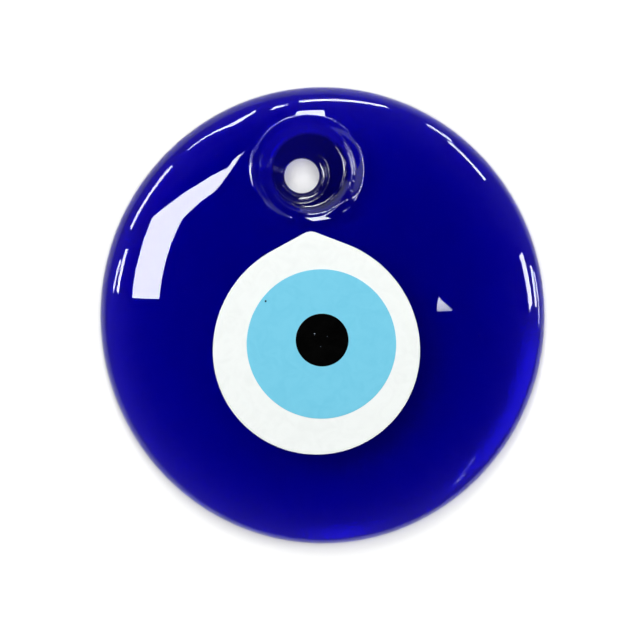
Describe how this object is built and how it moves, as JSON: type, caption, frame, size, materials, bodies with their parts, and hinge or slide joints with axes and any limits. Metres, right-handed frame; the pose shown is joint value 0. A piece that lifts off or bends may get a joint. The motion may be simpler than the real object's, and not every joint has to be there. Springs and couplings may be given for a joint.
{
  "type": "glass evil eye amulet",
  "caption": "Flat, slightly oval evil eye amulet of clear cobalt blue glass, with a white drop, light blue iris and black pupil level with its face and a dished hanging hole above them.",
  "frame": {"origin": "middle of the flat back, which lies on the surface", "axes": "+Z out of the face, +Y towards the hanging hole, +X to the right seen from the face"},
  "size_m": [0.07, 0.0718, 0.0077],
  "materials": {
    "cobalt_glass": "clear cobalt blue glass, fire-polished",
    "white_glass": "opaque white glass, fire-polished",
    "light_blue_glass": "opaque light blue glass, fire-polished",
    "black_glass": "opaque black glass, fire-polished"
  },
  "bodies": {
    "root": {"glass_disc": "cobalt_glass", "eye_white": "white_glass", "eye_iris": "light_blue_glass", "eye_pupil": "black_glass"}
  },
  "joints": []
}
